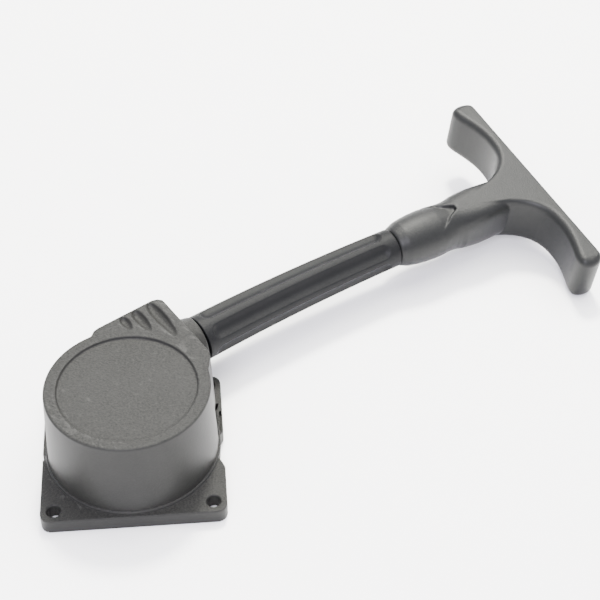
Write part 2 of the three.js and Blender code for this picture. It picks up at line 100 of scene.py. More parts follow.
# camera, in bench millimetres and degrees
view = {"place": (20.384, -241.344, 277.8), "tilt": 46.65, "turn": -4.7, "lens": 90.0,
        "sensor": 36.0}
cameraData = bpy.data.cameras.new("benchCamera")
cameraData.lens = view["lens"]
cameraData.sensor_width = view["sensor"]
camera = bpy.data.objects.new("benchCamera", cameraData)
camera.location = benchToFrame @ Vector(view["place"])
camera.rotation_euler = (math.radians(view["tilt"]), 0, math.radians(view["turn"]))
bpy.context.scene.collection.objects.link(camera)
bpy.context.scene.camera = camera
print("camera is set")


# tools that make and join shapes
def pieceOf(name, shape):
    bmesh.ops.recalc_face_normals(shape, faces=shape.faces)
    mesh = bpy.data.meshes.new(name)
    shape.to_mesh(mesh)
    shape.free()
    piece = bpy.data.objects.new(name, mesh)
    bpy.context.scene.collection.objects.link(piece)
    return piece


def skinned(rings, loopClosed=False):
    # a skin over rings of points; a ring of one point closes an end
    shape = bmesh.new()
    loops = [[shape.verts.new(point) for point in ring] for ring in rings]
    pairs = list(zip(loops, loops[1:]))
    if loopClosed:
        pairs.append((loops[-1], loops[0]))
    for near, far in pairs:
        count = max(len(near), len(far))
        for i in range(count):
            j = i + 1
            corners = [near[i % len(near)], near[j % len(near)],
                       far[j % len(far)], far[i % len(far)]]
            shape.faces.new(list(dict.fromkeys(corners)))
    return shape


def turned(name, profile, steps=96, closed=False):
    # profile is a list of (radius, height); a ring on the axis is one point
    onAxis = 1e-6
    rings = []
    for radius, z in profile:
        if radius < onAxis:
            rings.append([(0, 0, z)])
            continue
        turns = [2 * math.pi * i / steps for i in range(steps)]
        rings.append([(radius * math.cos(a), radius * math.sin(a), z) for a in turns])
    return pieceOf(name, skinned(rings, loopClosed=closed))


def rodOf(name, radius, low, high, steps=96):
    return turned(name, [(0, low), (radius, low), (radius, high), (0, high)], steps)


def slabOf(name, outline, low, high, footScale=1.0):
    # an outline of (x, y) made thick; footScale flares its lower side
    bottom = [(x * footScale, y * footScale, low) for x, y in outline]
    top = [(x, y, high) for x, y in outline]
    shape = skinned([bottom, top])
    shape.verts.ensure_lookup_table()
    count = len(outline)
    shape.faces.new(shape.verts[:count])
    shape.faces.new(shape.verts[count:])
    return pieceOf(name, shape)


def boxOf(name, low, high):
    outline = [(low[0], low[1]), (high[0], low[1]), (high[0], high[1]), (low[0], high[1])]
    return slabOf(name, outline, low[2], high[2])


def cornered(outline, radius, steps=6):
    # rounds every corner of a closed outline, over less than half of each side
    most = 0.45
    done = []
    count = len(outline)
    for i in range(count):
        before, here, after = (Vector(outline[(i + k) % count]) for k in (-1, 0, 1))
        reach = min(radius, (before - here).length * most, (after - here).length * most)
        start = here + (before - here).normalized() * reach
        end = here + (after - here).normalized() * reach
        for k in range(steps + 1):
            t = k / steps
            done.append((start * (1 - t) ** 2 + here * 2 * t * (1 - t) + end * t ** 2).to_tuple())
    return done


def tubeOf(name, path, radius, sides):
    # round bar along a list of points, with a length-by-turn layout for woven finishes
    points = [Vector(p) for p in path]
    rings, lengths, run = [], [], 0.0
    up = Vector((0, 0, 1))
    for i, point in enumerate(points):
        heading = (points[min(i + 1, len(points) - 1)] - points[max(i - 1, 0)]).normalized()
        across = heading.cross(up).normalized()
        lift = across.cross(heading)
        turns = [2 * math.pi * k / sides for k in range(sides)]
        rings.append([point + (across * math.cos(a) + lift * math.sin(a)) * radius for a in turns])
        run += (point - points[i - 1]).length if i else 0.0
        lengths.append(run)
    shape = skinned(rings)
    shape.verts.ensure_lookup_table()
    shape.verts.index_update()
    layout = shape.loops.layers.uv.new("cordLayout")
    for face in shape.faces:
        columns = [vert.index % sides for vert in face.verts]
        wraps = 0 in columns and sides - 1 in columns
        for loop in face.loops:
            n = loop.vert.index
            turn = (n % sides) / sides
            loop[layout].uv = (lengths[n // sides], 1.0 if wraps and turn == 0 else turn)
    shape.faces.new(shape.verts[:sides])
    shape.faces.new(shape.verts[-sides:])
    return pieceOf(name, shape)


def settle(piece):
    # makes the modifiers permanent
    graph = bpy.context.evaluated_depsgraph_get()
    done = bpy.data.meshes.new_from_object(piece.evaluated_get(graph))
    piece.modifiers.clear()
    piece.data = done


def joinedTo(piece, tools, operation):
    for tool in tools:
        change = piece.modifiers.new("change", "BOOLEAN")
        change.operation = operation
        change.solver = "EXACT"
        change.object = tool
        settle(piece)
        bpy.data.objects.remove(tool)


def moulded(piece, grain, passes, keep):
    # one skin over everything, with the small radius that a mould leaves on its edges
    skin = piece.modifiers.new("skin", "REMESH")
    skin.mode = "VOXEL"
    skin.voxel_size = grain
    soft = piece.modifiers.new("soft", "SMOOTH")
    soft.factor = 0.5
    soft.iterations = passes
    thin = piece.modifiers.new("thin", "DECIMATE")
    thin.ratio = keep
    settle(piece)


def shaded(piece, angle=40):
    for face in piece.data.polygons:
        face.use_smooth = True
    piece.data.set_sharp_from_angle(angle=math.radians(angle))


def eased(piece, width, segments=2, angle=35):
    # small rounded edges
    ease = piece.modifiers.new("ease", "BEVEL")
    ease.width = width
    ease.segments = segments
    ease.limit_method = "ANGLE"
    ease.angle_limit = math.radians(angle)
    settle(piece)


def fitted(piece, body, nodes, finish, angle=40):
    # bench millimetres to frame metres, with smooth shading and its finish, hiding the parts it
    # stands in for; the body argument is not used
    piece.data.transform(benchToFrame)
    shaded(piece, angle)
    piece.data.materials.clear()
    piece.data.materials.append(finish)
    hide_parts(*nodes)
    return piece


# tools that mix finishes
def finishOf(name, metallic=0.0, roughness=0.5, specular=0.5):
    finish = bpy.data.materials.new(name)
    finish.use_nodes = True
    nodes, links = finish.node_tree.nodes, finish.node_tree.links
    shader = nodes["Principled BSDF"]
    shader.inputs["Metallic"].default_value = metallic
    shader.inputs["Roughness"].default_value = roughness
    shader.inputs["Specular IOR Level"].default_value = specular
    return finish, nodes, links, shader


def noiseAt(nodes, links, vector, scale, detail=3.0, rough=0.55):
    noise = nodes.new("ShaderNodeTexNoise")
    noise.inputs["Scale"].default_value = scale
    noise.inputs["Detail"].default_value = detail
    noise.inputs["Roughness"].default_value = rough
    links.new(vector, noise.inputs["Vector"])
    return noise.outputs["Fac"]


def spread(nodes, links, value, low, high, fromLow=0.3, fromHigh=0.7):
    rangeNode = nodes.new("ShaderNodeMapRange")
    rangeNode.inputs["From Min"].default_value = fromLow
    rangeNode.inputs["From Max"].default_value = fromHigh
    rangeNode.inputs["To Min"].default_value = low
    rangeNode.inputs["To Max"].default_value = high
    links.new(value, rangeNode.inputs["Value"])
    return rangeNode.outputs["Result"]


def blended(nodes, links, share, first, second):
    mix = nodes.new("ShaderNodeMix")
    mix.data_type = "RGBA"
    links.new(share, mix.inputs["Factor"])
    for socket, colour in ((mix.inputs[6], first), (mix.inputs[7], second)):
        if isinstance(colour, tuple):
            socket.default_value = (*colour, 1)
        else:
            links.new(colour, socket)
    return mix.outputs[2]


def worked(nodes, links, operation, *values):
    # a math node over sockets and numbers
    step = nodes.new("ShaderNodeMath")
    step.operation = operation
    for socket, value in zip(step.inputs, values):
        if isinstance(value, (int, float)):
            socket.default_value = value
        else:
            links.new(value, socket)
    return step.outputs[0]


def raised(nodes, links, shader, height, distance):
    bump = nodes.new("ShaderNodeBump")
    bump.inputs["Distance"].default_value = distance
    links.new(height, bump.inputs["Height"])
    links.new(bump.outputs["Normal"], shader.inputs["Normal"])


def mouldedPlastic(name, look):
    # filled plastic: blasted grain where it faces up or down, smoother drawn sides, rubbed edges
    cloudScale = 110.0
    sideLevel, topLevel = 0.6, 0.95      # how level a face is where the grain begins and is full
    flatPoint, sharpPoint = 0.58, 0.72   # pointiness where the rub begins and is full
    finish, nodes, links, shader = finishOf(name, specular=look["gloss"])
    place = nodes.new("ShaderNodeTexCoord").outputs["Object"]
    grain = noiseAt(nodes, links, place, look["grainScale"], rough=0.6)
    cloud = noiseAt(nodes, links, place, cloudScale, rough=0.5)
    geometry = nodes.new("ShaderNodeNewGeometry")
    facing = nodes.new("ShaderNodeSeparateXYZ")
    links.new(geometry.outputs["Normal"], facing.inputs["Vector"])
    level = worked(nodes, links, "ABSOLUTE", facing.outputs["Z"])
    blasted = spread(nodes, links, level, look["sideGrain"], 1.0, sideLevel, topLevel)
    grit = worked(nodes, links, "MULTIPLY", spread(nodes, links, grain, -1, 1), blasted)
    speckle = blended(
        nodes, links, spread(nodes, links, grit, 0, 1, -1, 1), look["dark"], look["light"])
    tint = blended(
        nodes, links, spread(nodes, links, cloud, 0, look["clouding"]), speckle, look["dusty"])
    rub = spread(
        nodes, links, geometry.outputs["Pointiness"], 0, look["rubbed"], flatPoint, sharpPoint)
    rubbedUp = worked(nodes, links, "MULTIPLY", rub, blasted)
    links.new(blended(nodes, links, rubbedUp, tint, look["edge"]), shader.inputs["Base Color"])
    links.new(
        spread(nodes, links, blasted, look["sideRough"], look["topRough"], 0, 1),
        shader.inputs["Roughness"])
    raised(nodes, links, shader, grit, look["grainDepth"])
    return finish


def turnedMetal(name, look):
    # steel with fine tool marks
    markScale, markStretch, markDepth, filmScale = 900.0, (1, 1, 9), 0.00001, 350.0
    smoother, rougher = 0.08, 0.1
    finish, nodes, links, shader = finishOf(name, metallic=1.0)
    place = nodes.new("ShaderNodeTexCoord").outputs["Object"]
    stretch = nodes.new("ShaderNodeMapping")
    stretch.inputs["Scale"].default_value = markStretch
    links.new(place, stretch.inputs["Vector"])
    marks = noiseAt(nodes, links, stretch.outputs["Vector"], markScale, detail=4.0, rough=0.6)
    film = noiseAt(nodes, links, place, filmScale, rough=0.5)
    links.new(
        blended(nodes, links, spread(nodes, links, film, 0, 1), look["dark"], look["light"]),
        shader.inputs["Base Color"])
    links.new(
        spread(nodes, links, marks, look["rough"] - smoother, look["rough"] + rougher),
        shader.inputs["Roughness"])
    raised(nodes, links, shader, marks, markDepth)
    return finish


def braid(nodes, links, along, around, pitch, strands):
    # two sets of strands that cross; returns their height
    heights = []
    for way in (1, -1):
        ramp = worked(nodes, links, "MULTIPLY", along, 2 * math.pi / pitch)
        twist = worked(nodes, links, "MULTIPLY_ADD", around, way * 2 * math.pi * strands, ramp)
        heights.append(worked(nodes, links, "SINE", twist))
    return worked(nodes, links, "MAXIMUM", *heights)


def wovenCord(name, look, straight=False):
    # braided cord, laid along its own length or, when straight, along the exit line, with painted
    # shade in the valleys between strands
    finish, nodes, links, shader = finishOf(name, roughness=look["rough"], specular=look["gloss"])
    coordinates = nodes.new("ShaderNodeTexCoord")
    parts = nodes.new("ShaderNodeSeparateXYZ")
    if straight:
        # measured in the frame along the exit line, so a pulled cord keeps its weave
        turn = Matrix.Rotation(-route["exitTurn"], 4, "Z")
        lay = nodes.new("ShaderNodeMapping")
        lay.inputs["Rotation"].default_value = (0, 0, -route["exitTurn"])
        start = benchToFrame @ exitPoint(0, route["exitOffset"], route["height"])
        lay.inputs["Location"].default_value = -(turn @ start)
        links.new(coordinates.outputs["Object"], lay.inputs["Vector"])
        links.new(lay.outputs["Vector"], parts.inputs["Vector"])
        angle = worked(nodes, links, "ARCTAN2", parts.outputs["Z"], parts.outputs["Y"])
        around = spread(nodes, links, angle, 0, 1, -math.pi, math.pi)
        pitch = look["pitch"] * 0.001
    else:
        links.new(coordinates.outputs["UV"], parts.inputs["Vector"])
        around = parts.outputs["Y"]
        pitch = look["pitch"]
    along = parts.outputs["X"]
    weave = braid(nodes, links, along, around, pitch, look["strands"])
    fuzz = noiseAt(nodes, links, coordinates.outputs["Object"], look["fuzzScale"], rough=0.6)
    # painted shade: the gap colour darkens the valleys between strands, and the yarn colour sits on
    # their crowns
    yarn = blended(
        nodes, links, spread(nodes, links, weave, 0, 1, -0.2, 1), look["gap"], look["yarn"])
    links.new(
        blended(nodes, links, spread(nodes, links, fuzz, 0, look["fuzz"]), yarn, look["soil"]),
        shader.inputs["Base Color"])
    shader.inputs["Sheen Weight"].default_value = look["sheen"]
    raised(nodes, links, shader, weave, look["depth"])
    return finish


# finishes
housingPlastic = mouldedPlastic("housingPlastic", {
    "dark": (0.008, 0.0081, 0.0078), "light": (0.022, 0.0221, 0.0205),
    "dusty": (0.023, 0.023, 0.022),
    "edge": (0.06, 0.06, 0.057), "clouding": 0.25, "rubbed": 0.35, "topRough": 0.54,
    "sideRough": 0.42, "sideGrain": 0.12, "gloss": 0.125, "grainScale": 2000.0,
    "grainDepth": 0.00005})
gripPlastic = mouldedPlastic("gripPlastic", {
    "dark": (0.005, 0.0053, 0.0053), "light": (0.0125, 0.013, 0.0128),
    "dusty": (0.014, 0.0145, 0.0142),
    "edge": (0.055, 0.055, 0.052), "clouding": 0.25, "rubbed": 0.35, "topRough": 0.46,
    "sideRough": 0.34, "sideGrain": 0.3, "gloss": 0.18, "grainScale": 2600.0,
    "grainDepth": 0.000018})
sleeveRubber = mouldedPlastic("sleeveRubber", {
    "dark": (0.004, 0.0042, 0.0045), "light": (0.009, 0.0093, 0.0098),
    "dusty": (0.011, 0.0113, 0.0118),
    "edge": (0.04, 0.04, 0.039), "clouding": 0.3, "rubbed": 0.3, "topRough": 0.5,
    "sideRough": 0.34, "sideGrain": 0.3, "gloss": 0.09, "grainScale": 2600.0,
    "grainDepth": 0.000018})
reelPlastic = mouldedPlastic("reelPlastic", {
    "dark": (0.5, 0.49, 0.45), "light": (0.66, 0.65, 0.6), "dusty": (0.4, 0.39, 0.36),
    "edge": (0.75, 0.74, 0.7), "clouding": 0.5, "rubbed": 0.3, "topRough": 0.45,
    "sideRough": 0.4, "sideGrain": 0.5, "gloss": 0.5, "grainScale": 1800.0,
    "grainDepth": 0.00001})
cagePlastic = mouldedPlastic("cagePlastic", {
    "dark": (0.015, 0.015, 0.016), "light": (0.03, 0.03, 0.032), "dusty": (0.05, 0.05, 0.05),
    "edge": (0.06, 0.06, 0.06), "clouding": 0.2, "rubbed": 0.3, "topRough": 0.5,
    "sideRough": 0.45, "sideGrain": 0.5, "gloss": 0.5, "grainScale": 2500.0,
    "grainDepth": 0.00001})
eyeletSteel = turnedMetal("eyeletSteel", {
    "dark": (0.5, 0.5, 0.52), "light": (0.7, 0.7, 0.72), "rough": 0.25})
zincSteel = turnedMetal("zincSteel", {
    "dark": (0.38, 0.39, 0.42), "light": (0.6, 0.61, 0.63), "rough": 0.34})
bearingSteel = turnedMetal("bearingSteel", {
    "dark": (0.52, 0.53, 0.55), "light": (0.66, 0.67, 0.7), "rough": 0.2})
springSteel = turnedMetal("springSteel", {
    "dark": (0.12, 0.13, 0.17), "light": (0.28, 0.28, 0.3), "rough": 0.3})
# gap is painted shade for the valleys of the weave; yarn is the strands' own colour
cordLook = {"yarn": (0.72, 0.7, 0.64), "gap": (0.3, 0.28, 0.24), "soil": (0.4, 0.37, 0.32),
            "rough": 0.8, "gloss": 0.3, "sheen": 0.3, "pitch": 2.6, "strands": 4,
            "depth": 0.00012, "fuzzScale": 1500.0, "fuzz": 0.35}
cordFinish = wovenCord("cordFinish", cordLook)
runFinish = wovenCord("runFinish", cordLook, straight=True)
print("finishes are mixed")


# housing: flange, drum, outlet block and neck
housing = {
    "side": 43.5, "thick": 4.0, "corner": 3.0, "cornerSteps": 10,
    "screwSpacing": 37.0, "holeRadius": 1.6, "holeFlare": 1.3,
    "top": 24.8, "drumStart": 1, "drumTop": 19.5, "drumFoot": 20.5, "bead": 0.4, "footZ": 4.1,
    "recess": 16.45, "recessDepth": 0.7, "cavity": 17.3, "cavityTop": 22.0,
    "post": 2.9, "postEnd": 9.2, "postRoot": 0.5, "pilot": 1.3, "pilotTop": 15.0,
    "blockFoot": 3.5, "draft": 0.045, "gougeLift": 0.1, "grooveTop": 8,
    "neckRoot": 6.9, "neckTip": 6.1, "neckStart": 12, "neckEnd": 27.7,
    "neckShoulder": (4.7, 3.2, 1.7, 0.3), "neckSoft": 0.2,
    "cordBore": 1.7, "eyeletBore": 3.05, "eyeletDepth": 2.6, "boreEnd": 31,
    "edge": 0.3,   # small edges
    "past": 1,     # how far a cutter runs past a face
    "around": 180, "grain": 0.2, "passes": 2, "keep": 0.45,
}
waistOutline = [(-1.2, -5.6), (1.3, -10.9), (1.3, 6.1), (-1.2, 0.8)]    # from the right edge
notchOutline = [(0.7, -3.9), (0.7, -1.3), (-1.3, -0.4), (-1.3, -4.8)]   # from the left edge
nibCorners = ((-21.9, -3.25, 1.8), (-20.2, -1.95, 3.0))
blockOutline = [   # along the cord, towards its side
    (-2.0, 8.0), (1.0, 19.2), (2.5, 20.5), (3.8, 20.9), (19.4, 21.9), (20.9, 21.5),
    (21.8, 20.6), (21.9, 19.4), (21.9, -0.4), (21.6, -1.8), (20.9, -2.9), (17.3, -7.6),
    (8.0, -8.0),
]
gougeLine = [   # the scoops in the block's top: place along the cord, both ends, half width
    {"along": 10.4, "mouth": 20.8, "tip": 15.4, "radius": 1.05},
    {"along": 14.0, "mouth": 21.2, "tip": 12.3, "radius": 1.3},
    {"along": 18.3, "mouth": 21.4, "tip": 7.0, "radius": 1.45},
]
scoopShares = [   # shares of a scoop's radius and length
    (0, 0), (0.62, 0.2), (1, 0.5), (1, 0.78), (0.75, 0.93), (0.35, 1), (0, 1)]
grooveLine = [   # two tapered grooves in the flange beside the drum, with a rib left between them
    {"floor": 2.6, "outline": [(20.95, 12.3), (20.2, 12.0), (19.95, 9.8), (20.0, -0.4),
                               (20.45, -0.2), (20.5, 9.4)]},
    {"floor": 2.8, "outline": [(20.95, 9.4), (20.95, 3.0), (21.25, 3.0), (21.5, 9.6)]},
]
footBead = [   # ring round the drum's foot, from the foot's radius and height
    (-0.5, -0.4), (0.5, -0.4), (0.55, 0), (0.45, 0.35), (0.15, 0.55), (-0.5, 0.6)]


def flangePlate():
    half, thick = housing["side"] / 2, housing["thick"]
    past, edge = housing["past"], housing["edge"]
    square = [(-half, -half), (half, -half), (half, half), (-half, half)]
    plate = slabOf(
        "plate", cornered(square, housing["corner"], housing["cornerSteps"]), 0, thick)
    cutters = [
        slabOf("waist", [(half + x, y) for x, y in waistOutline], -past, thick + past),
        slabOf("smallNotch", [(-half + x, y) for x, y in notchOutline], -past, thick + past),
    ]
    reach = housing["screwSpacing"] / 2
    radius = housing["holeRadius"]
    mouth = radius + housing["holeFlare"]
    for x in (-reach, reach):
        for y in (-reach, reach):
            hole = turned("hole", [
                (0, -past), (mouth, -past), (radius, edge), (radius, thick - edge),
                (mouth, thick + past), (0, thick + past)], steps=40)
            hole.data.transform(Matrix.Translation((x, y, 0)))
            cutters.append(hole)
    joinedTo(plate, cutters, "DIFFERENCE")
    return plate


def outletBlock():
    top, foot = housing["top"], housing["blockFoot"]
    block = slabOf("block", blockOutline, foot, top, 1 + housing["draft"] * (top - foot) / top)
    block.data.transform(Matrix.Rotation(route["exitTurn"], 4, "Z"))
    return block


def outletNeck():
    root, tip, soft = housing["neckRoot"], housing["neckTip"], housing["neckSoft"]
    start, end = housing["neckStart"], housing["neckEnd"]
    low, middle, high, lip = (end - back for back in housing["neckShoulder"])
    neck = turned("neck", [
        (0, start), (root, start), (root, low), (root - soft, middle), (tip + soft, high),
        (tip, lip), (tip - soft, end), (0, end)], steps=64)
    neck.data.transform(alongExit)
    return neck


def topGouges():
    gouges = []
    lay = Matrix((exitDir.to_tuple(), (0, 0, -1), sideDir.to_tuple())).transposed().to_4x4()
    for line in gougeLine:
        length, radius = line["mouth"] - line["tip"], line["radius"]
        scoop = turned("gouge", [(radius * r, length * z) for r, z in scoopShares], steps=32)
        place = exitPoint(
            line["along"], line["tip"], housing["top"] + radius * housing["gougeLift"])
        scoop.data.transform(Matrix.Translation(place) @ lay)
        gouges.append(scoop)
    return gouges


def cordBores():
    bores = []
    for low, radius in ((0, housing["cordBore"]),
                        (housing["neckEnd"] - housing["eyeletDepth"], housing["eyeletBore"])):
        bore = rodOf("bore", radius, low, housing["boreEnd"], steps=32)
        bore.data.transform(alongExit)
        bores.append(bore)
    return bores


def makeHousing():
    top, foot, out = housing["top"], housing["footZ"], housing["drumFoot"]
    start, bead, edge = housing["drumStart"], housing["bead"], housing["edge"]
    past, around = housing["past"], housing["around"]
    body = flangePlate()
    drum = turned("drum", [
        (0, start), (out + bead, start), (out + bead, foot), (out, foot + bead),
        (housing["drumTop"], top - edge), (housing["drumTop"] - edge, top), (0, top)], around)
    joinedTo(body, [drum, outletBlock(), outletNeck(), boxOf("nib", *nibCorners)], "UNION")
    cutters = topGouges()
    cutters.append(
        rodOf("recess", housing["recess"], top - housing["recessDepth"], top + past, around))
    cutters.append(rodOf("cavity", housing["cavity"], -past, housing["cavityTop"], around))
    joinedTo(body, cutters + cordBores(), "DIFFERENCE")
    end, root = housing["postEnd"], housing["cavityTop"] + housing["postRoot"]
    post = turned("post", [(0, end), (housing["post"] - edge, end), (housing["post"], end + edge),
                           (housing["post"], root), (0, root)], steps=48)
    joinedTo(body, [post], "UNION")
    pilot = rodOf("pilot", housing["pilot"], end - past, housing["pilotTop"], steps=32)
    joinedTo(body, [pilot], "DIFFERENCE")
    moulded(body, housing["grain"], housing["passes"], housing["keep"])
    # details finer than the moulded skin's grain
    grooves = [slabOf("groove", groove["outline"], groove["floor"], housing["grooveTop"])
               for groove in grooveLine]
    joinedTo(body, grooves, "DIFFERENCE")
    ring = turned("bead", [(out + r, foot + z) for r, z in footBead], around, closed=True)
    joinedTo(body, [ring], "UNION")
    body.name = "housingShell"
    return fitted(body, "housing", ["housing"], housingPlastic, angle=60)


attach(makeHousing(), "housing")
print("housing is moulded")


# ring in the neck's mouth
eyeletProfile = [
    (1.45, 0.15), (1.6, 0), (2.85, 0), (3.0, 0.15), (3.0, 2.35), (2.85, 2.5), (2.3, 2.5),
    (1.85, 2.36), (1.6, 2.1), (1.47, 1.6)]


def makeEyelet():
    eyelet = turned("exitEyeletRing", eyeletProfile, steps=64, closed=True)
    seat = housing["neckEnd"] - housing["eyeletDepth"]
    eyelet.data.transform(alongExit @ Matrix.Translation((0, 0, seat)))
    return fitted(eyelet, "housing", ["exit_eyelet"], eyeletSteel)


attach(makeEyelet(), "housing")


# reel with its cord, knot, washer and screw
reel = {
    "flange": 16.4, "core": 9.5, "hub": 6.6, "boss": 4.8, "bore": 3.2, "seat": 5.06,
    "spokes": 8, "spokeWide": 1.0, "spokeTaper": 0.8, "spokeDeep": 1.6, "spokeFace": 7.9,
    "spokeTop": 8.2, "spokeEnd": 7.35, "spokeIn": 0.6, "spokeOut": 1.2,
    "slitReach": 0.6, "slitHalf": 0.45, "slitLow": 15.7, "slitHigh": 21.1,
    "knotPlace": (7.35, 0, 11.3), "knotSize": 1.72, "knotStrand": 0.78,
}
reelProfile = [   # radius by name, step out from it, height
    ("seat", 0, 0.95), ("seat", 0.15, 0.8), ("hub", -0.3, 0.8), ("hub", 0, 1.1), ("hub", 0, 7.2),
    ("hub", 0.6, 7.8), ("flange", -0.4, 7.8), ("flange", 0, 8.1), ("flange", 0, 8.7),
    ("flange", -0.3, 9.0), ("core", 0.4, 9.2), ("core", 0, 9.6), ("core", 0, 13.1),
    ("core", 0.4, 13.5), ("flange", -0.3, 13.7), ("flange", 0, 14.0), ("flange", 0, 14.6),
    ("flange", -0.3, 14.9), ("boss", 0.4, 14.9), ("boss", 0, 15.3), ("boss", 0, 21.2),
    ("boss", -0.3, 21.5), ("bore", 0.3, 21.5), ("bore", 0, 21.2), ("bore", 0, 9.4),
    ("seat", 0, 9.4),
]
knotPocket = ((5.3, -2.2, 9.3), (9.9, 2.2, 13.3))
winding = {"pitch": 2.1, "innerRadius": 10.6, "arc": 1930, "stepArc": 40, "dipArc": 12,
           "steps": 420, "sides": 12, "shrink": 0.99}
windingStart = route["exitTurn"] + math.pi / 2 + math.radians(winding["arc"])
knotLook = {"steps": 90, "lift": 1.35, "sides": 14, "grain": 0.09, "passes": 2, "keep": 0.6}
reelWasherProfile = [
    (1.4, 8.6), (1.5, 8.5), (4.3, 8.5), (4.4, 8.58), (4.4, 9.1), (4.3, 9.18), (1.5, 9.18),
    (1.4, 9.08)]
screwHead = [(0, 6.85), (0.9, 6.88), (1.7, 7.03), (2.25, 7.3), (2.48, 7.65), (2.5, 8.48),
             (1.15, 8.48)]
screwTip = [(0.5, 14.4), (0, 14.5)]
thread = {"radius": 1.15, "crest": 0.12, "root": -0.08, "start": 8.9, "step": 0.26, "rings": 20}
screwSlot = {"long": 1.5, "half": 0.3, "low": 6.2, "high": 7.75}


def reelSpoke(i):
    half = reel["spokeWide"] / 2
    inner, outer = reel["hub"] - reel["spokeIn"], reel["flange"] - reel["spokeOut"]
    taper = reel["spokeTaper"]
    spoke = slabOf("spoke", [(inner, -half), (outer, -half * taper), (outer, half * taper),
                             (inner, half)], reel["spokeFace"] - reel["spokeDeep"],
                   reel["spokeTop"])
    for vert in spoke.data.vertices:
        if vert.co.z < reel["spokeFace"] and vert.co.x > reel["core"]:
            vert.co.z = reel["spokeEnd"]
    spoke.data.transform(Matrix.Rotation(2 * math.pi * (i + 0.5) / reel["spokes"], 4, "Z"))
    return spoke


def makeReel():
    body = turned("reelDrum", [(reel[where] + out, z) for where, out, z in reelProfile],
                  steps=128, closed=True)
    joinedTo(body, [reelSpoke(i) for i in range(reel["spokes"])], "UNION")
    pocket = boxOf("pocket", *knotPocket)
    pocket.data.transform(Matrix.Rotation(windingStart, 4, "Z"))
    slit = boxOf("slit", (reel["boss"] - reel["slitReach"], -reel["slitHalf"], reel["slitLow"]),
                 (reel["boss"] + reel["slitReach"], reel["slitHalf"], reel["slitHigh"]))
    joinedTo(body, [pocket, slit], "DIFFERENCE")
    return fitted(body, "reel", ["reel"], reelPlastic, angle=30)


def windingPoint(degrees):
    # two columns, three layers; each step over comes a little earlier in the turn
    stations = [(0, 0), (1, 0), (1, 1), (0, 1), (0, 2), (1, 2)]
    columns = (route["height"] - winding["pitch"], route["height"])
    index, share = 0, 0.0
    for k in range(1, len(stations)):
        stepEnd = 360 + (k - 1) * (360 - winding["stepArc"])
        if degrees >= stepEnd:
            index = k
        elif degrees > stepEnd - winding["stepArc"]:
            share = (degrees - stepEnd + winding["stepArc"]) / winding["stepArc"]
    ease = (1 - math.cos(math.pi * share)) / 2
    here, after = stations[index], stations[min(index + 1, len(stations) - 1)]
    radius = winding["innerRadius"] + winding["pitch"] * (here[1] + ease * (after[1] - here[1]))
    z = columns[here[0]] + ease * (columns[after[0]] - columns[here[0]])
    dip = max(0, 1 - degrees / winding["dipArc"])
    angle = windingStart - math.radians(degrees)
    radius -= dip * dip
    return Vector((radius * math.cos(angle), radius * math.sin(angle), z))


def makeWinding():
    steps = winding["steps"]
    path = [windingPoint(winding["arc"] * i / steps) for i in range(steps + 1)]
    coil = tubeOf(
        "cordWinding", path, route["cordRadius"] * winding["shrink"], winding["sides"])
    return fitted(coil, "reel", ["cord_winding"], cordFinish, angle=60)


def knotOf(name, size, strand):
    # the cord's end knot, drawn tight
    path = []
    for i in range(knotLook["steps"]):
        t = 2 * math.pi * i / knotLook["steps"]
        path.append(Vector((math.sin(t) + 2 * math.sin(2 * t), math.cos(t) - 2 * math.cos(2 * t),
                            -knotLook["lift"] * math.sin(3 * t))) * (size - strand) / 3)
    knot = tubeOf(name, path + [path[0]], strand, knotLook["sides"])
    moulded(knot, knotLook["grain"], knotLook["passes"], knotLook["keep"])
    return knot


def makeReelKnot():
    knot = knotOf("reelKnot", reel["knotSize"], reel["knotStrand"])
    knot.data.transform(
        Matrix.Rotation(windingStart, 4, "Z") @ Matrix.Translation(reel["knotPlace"])
        @ Matrix.Rotation(math.pi / 2, 4, "Y"))
    return fitted(knot, "reel", ["reel_knot"], cordFinish, angle=60)


def makeReelWasher():
    washer = turned("reelWasher", reelWasherProfile, steps=64, closed=True)
    return fitted(washer, "housing", ["reel_washer"], zincSteel)


def makeReelScrew():
    turns = [(thread["radius"] + (thread["crest"] if k % 2 else thread["root"]),
              thread["start"] + thread["step"] * k) for k in range(thread["rings"])]
    screw = turned("reelScrew", screwHead + turns + screwTip, steps=48)
    low, high = screwSlot["low"], screwSlot["high"]
    slots = [boxOf("slot", (-x, -y, low), (x, y, high))
             for x, y in ((screwSlot["long"], screwSlot["half"]),
                          (screwSlot["half"], screwSlot["long"]))]
    joinedTo(screw, slots, "DIFFERENCE")
    return fitted(screw, "housing", ["reel_screw"], zincSteel, angle=30)


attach(makeReel(), "reel")
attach(makeWinding(), "reel")
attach(makeReelKnot(), "reel")
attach(makeReelWasher(), "housing")
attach(makeReelScrew(), "housing")
print("reel is wound")


# one-way clutch in the reel's hub
clutch = {"outer": 5.0, "inner": 3.25, "low": 1.0, "high": 6.6, "lip": 0.4, "wall": 0.5,
          "shoulder": 0.35, "edge": 0.1, "mouth": 0.12, "gap": 0.1, "cageOuter": 4.25,
          "pocketReach": 1.2, "pocketHalf": 0.85, "cageEase": 0.05,
          "rollers": 6, "roller": 0.7, "rollerEdge": 0.12, "rollerPitch": 3.75,
          "rollerLength": 3.6}


def clutchTurn(i):
    return Matrix.Rotation(2 * math.pi * (i + 0.5) / clutch["rollers"], 4, "Z")


